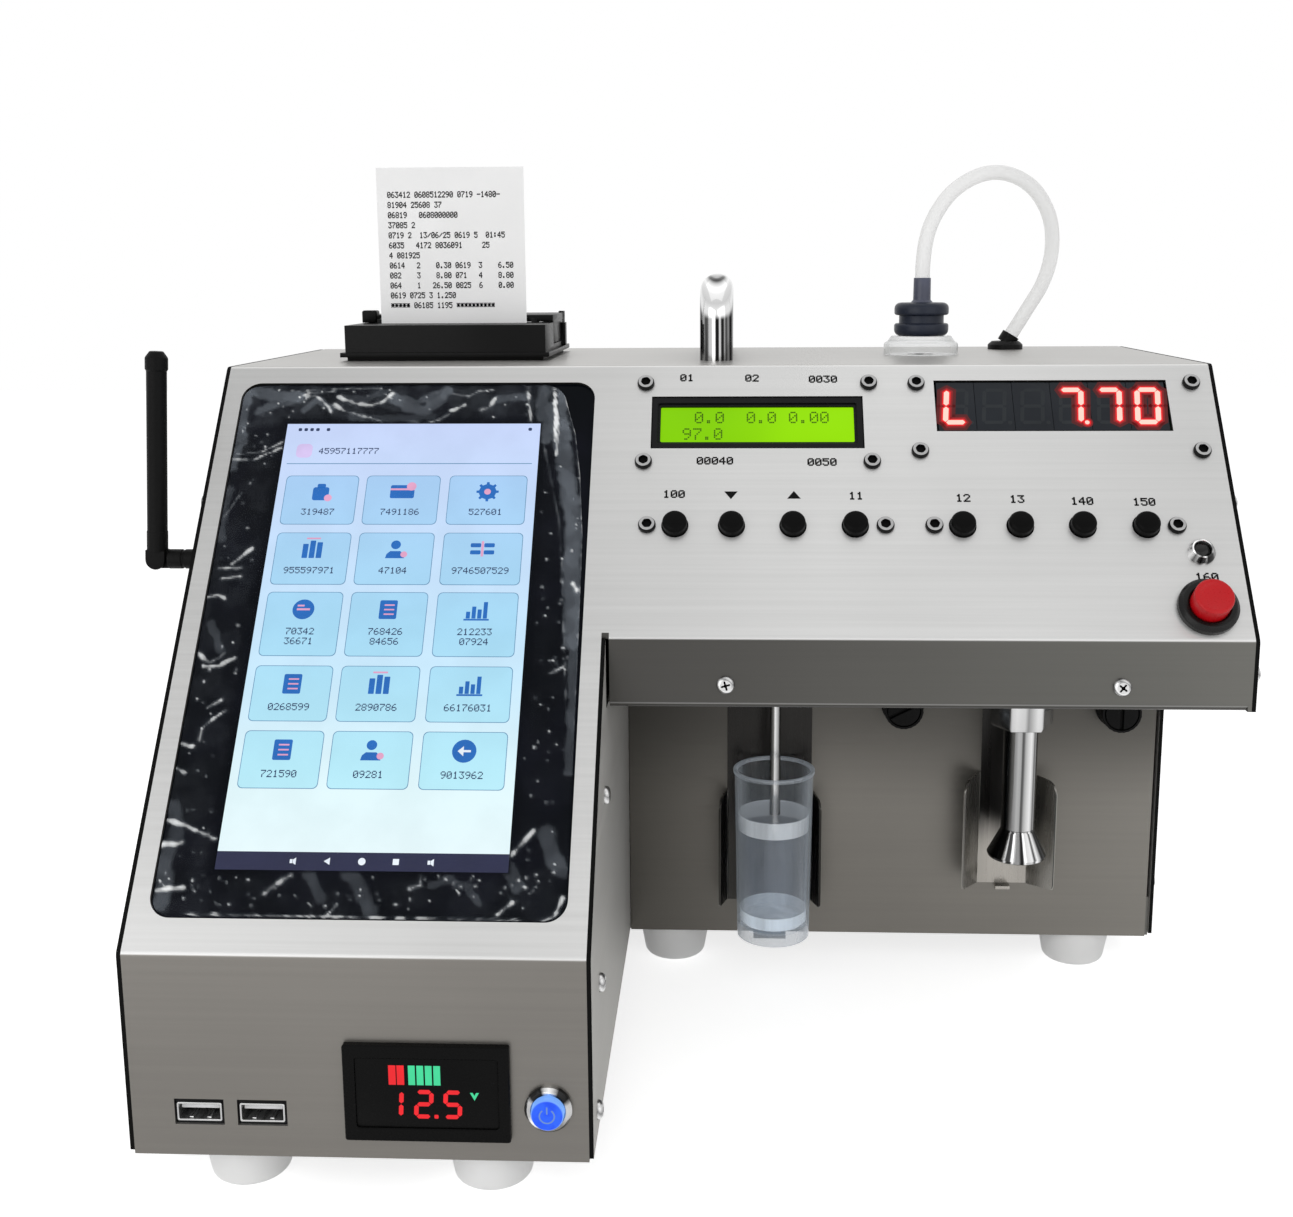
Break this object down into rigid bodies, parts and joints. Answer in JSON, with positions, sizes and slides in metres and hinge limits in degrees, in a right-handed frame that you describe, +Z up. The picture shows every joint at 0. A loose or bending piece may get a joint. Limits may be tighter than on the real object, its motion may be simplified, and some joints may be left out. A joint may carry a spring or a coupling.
{
  "type": "milk analyzer",
  "caption": "Benchtop milk analyzer: L-shaped steel case with sloped panel, tablet, slip printer, displays, sampling pipe, cup and ultrasonic stirrer.",
  "frame": {"origin": "under the middle of the device's outline, hose left out, at the level of the feet's lower faces", "axes": "+X to the device's right as seen from the front, +Y to the rear, +Z up"},
  "size_m": [0.359, 0.2564, 0.305],
  "materials": {
    "steel_sheet": "brushed",
    "foot_rubber": "matt",
    "screw_steel": "satin",
    "handle_chrome": "polished",
    "tablet_glass": "gloss",
    "tablet_shell": "matt",
    "tablet_screen": "lit",
    "film": "clear, wrinkled",
    "black_plastic": "gloss",
    "lcd_green": "lit",
    "board_green": "satin",
    "digit_black": "satin",
    "lamp_dark": "gloss",
    "push_red": "satin",
    "power_blue": "lit",
    "nut_steel": "satin",
    "meter_black": "gloss",
    "meter_window": "lit digits on black",
    "socket_steel": "satin",
    "printer_black": "satin",
    "roller_rubber": "matt",
    "paper": "matt",
    "pipe_steel": "satin",
    "holder_steel": "brushed",
    "cup_clear": "clear",
    "horn_steel": "polished",
    "fuse_black": "satin",
    "inlet_clear": "clear",
    "stopper_rubber": "satin",
    "hose_silicone": "translucent",
    "grommet_rubber": "matt",
    "antenna_black": "satin",
    "key_black": "satin",
    "pump_grey": "satin",
    "battery_grey": "satin"
  },
  "bodies": {
    "housing": {"top_cover": "steel_sheet", "left_side_panel": "steel_sheet", "inner_side_panel": "steel_sheet", "right_side_panel": "steel_sheet", "recess_panel": "steel_sheet", "base_plate": "steel_sheet", "rear_panel": "steel_sheet", "feet": "foot_rubber", "screws": "screw_steel", "carry_handle": "handle_chrome", "tablet_glass": "tablet_glass", "tablet_body": "tablet_shell", "tablet_screen": "tablet_screen", "protective_film": "film", "lcd_bezel": "black_plastic", "lcd_window": "lcd_green", "panel_boards": "board_green", "led_digits": "digit_black", "lamp_bezel": "handle_chrome", "lamp_lens": "lamp_dark", "push_bezel": "black_plastic", "power_bezel": "handle_chrome", "panel_nuts": "nut_steel", "voltmeter_case": "meter_black", "voltmeter_window": "meter_window", "usb_sockets": "socket_steel", "printer_frame": "printer_black", "paper_strip": "paper", "sample_pipe": "pipe_steel", "cup_holder": "holder_steel", "stirrer_holder": "holder_steel", "stirrer_horn": "horn_steel", "fuse_holders": "black_plastic", "inlet_base": "inlet_clear", "inlet_stopper": "stopper_rubber", "hose": "hose_silicone", "hose_grommet": "grommet_rubber", "main_board": "board_green", "pump": "pump_grey", "battery_pack": "battery_grey"},
    "key_1_body": {"key_1": "key_black"},
    "key_2_body": {"key_2": "key_black"},
    "key_3_body": {"key_3": "key_black"},
    "key_4_body": {"key_4": "key_black"},
    "key_5_body": {"key_5": "key_black"},
    "key_6_body": {"key_6": "key_black"},
    "key_7_body": {"key_7": "key_black"},
    "key_8_body": {"key_8": "key_black"},
    "push_button": {"push_cap": "push_red"},
    "power_button": {"power_cap": "power_blue"},
    "door": {"printer_door": "printer_black"},
    "platen": {"platen_roller": "roller_rubber"},
    "latch": {"printer_latch": "printer_black"},
    "roll": {"paper_roll": "paper"},
    "left_fuse_cap": {"fuse_cap_1": "fuse_black"},
    "right_fuse_cap": {"fuse_cap_2": "fuse_black"},
    "cup": {"sample_cup": "cup_clear"},
    "antenna_base": {"antenna_elbow": "antenna_black"},
    "antenna_mast": {"antenna_whip": "antenna_black"}
  },
  "joints": [
    {"name": "key_1_press", "type": "slide", "parent": "housing", "child": "key_1_body", "axis": [0, 0.7814, -0.624], "range_m": [0, 0.0005], "stiffness_N_per_m": 1500},
    {"name": "key_2_press", "type": "slide", "parent": "housing", "child": "key_2_body", "axis": [0, 0.7814, -0.624], "range_m": [0, 0.0005], "stiffness_N_per_m": 1500},
    {"name": "key_3_press", "type": "slide", "parent": "housing", "child": "key_3_body", "axis": [0, 0.7814, -0.624], "range_m": [0, 0.0005], "stiffness_N_per_m": 1500},
    {"name": "key_4_press", "type": "slide", "parent": "housing", "child": "key_4_body", "axis": [0, 0.7814, -0.624], "range_m": [0, 0.0005], "stiffness_N_per_m": 1500},
    {"name": "key_5_press", "type": "slide", "parent": "housing", "child": "key_5_body", "axis": [0, 0.7814, -0.624], "range_m": [0, 0.0005], "stiffness_N_per_m": 1500},
    {"name": "key_6_press", "type": "slide", "parent": "housing", "child": "key_6_body", "axis": [0, 0.7814, -0.624], "range_m": [0, 0.0005], "stiffness_N_per_m": 1500},
    {"name": "key_7_press", "type": "slide", "parent": "housing", "child": "key_7_body", "axis": [0, 0.7814, -0.624], "range_m": [0, 0.0005], "stiffness_N_per_m": 1500},
    {"name": "key_8_press", "type": "slide", "parent": "housing", "child": "key_8_body", "axis": [0, 0.7814, -0.624], "range_m": [0, 0.0005], "stiffness_N_per_m": 1500},
    {"name": "push_press", "type": "slide", "parent": "housing", "child": "push_button", "axis": [0, 0.7814, -0.624], "range_m": [0, 0.0025], "stiffness_N_per_m": 800},
    {"name": "power_press", "type": "slide", "parent": "housing", "child": "power_button", "axis": [0, 1, 0], "range_m": [0, 0.0015], "stiffness_N_per_m": 1500},
    {"name": "door_hinge", "type": "hinge", "parent": "housing", "child": "door", "pos_m": [-0.08773, 0.10066, 0.2489], "axis": [-1, 0, 0], "range_deg": [0, 95]},
    {"name": "platen_spin", "type": "hinge", "parent": "door", "child": "platen", "pos_m": [-0.08773, 0.06576, 0.243], "axis": [1, 0, 0], "continuous": true},
    {"name": "roll_spin", "type": "hinge", "parent": "housing", "child": "roll", "pos_m": [-0.08773, 0.07856, 0.2163], "axis": [1, 0, 0], "continuous": true},
    {"name": "latch_lift", "type": "hinge", "parent": "housing", "child": "latch", "pos_m": [-0.08773, 0.06816, 0.2455], "axis": [-1, 0, 0], "range_deg": [0, 20], "stiffness_Nm_per_rad": 0.02},
    {"name": "left_fuse_cap_turn", "type": "hinge", "parent": "housing", "child": "left_fuse_cap", "pos_m": [0.08057, 0.03525, 0.1061], "axis": [0, -1, 0], "range_deg": [0, 90]},
    {"name": "right_fuse_cap_turn", "type": "hinge", "parent": "housing", "child": "right_fuse_cap", "pos_m": [0.16007, 0.03525, 0.1053], "axis": [0, -1, 0], "range_deg": [0, 90]},
    {"name": "cup_lift", "type": "slide", "parent": "housing", "child": "cup", "axis": [0, 0, 1], "range_m": [0, 0.03]},
    {"name": "antenna_swivel", "type": "hinge", "parent": "housing", "child": "antenna_base", "pos_m": [-0.16593, -0.02355, 0.1717], "axis": [1, 0, 0], "continuous": true},
    {"name": "antenna_tilt", "type": "hinge", "parent": "antenna_base", "child": "antenna_mast", "pos_m": [-0.17623, -0.02355, 0.1717], "axis": [0, -1, 0], "range_deg": [0, 93.5]}
  ],
  "couplings": [
    {"joint": "roll_spin", "follows": "platen_spin", "ratio": -0.23256}
  ]
}
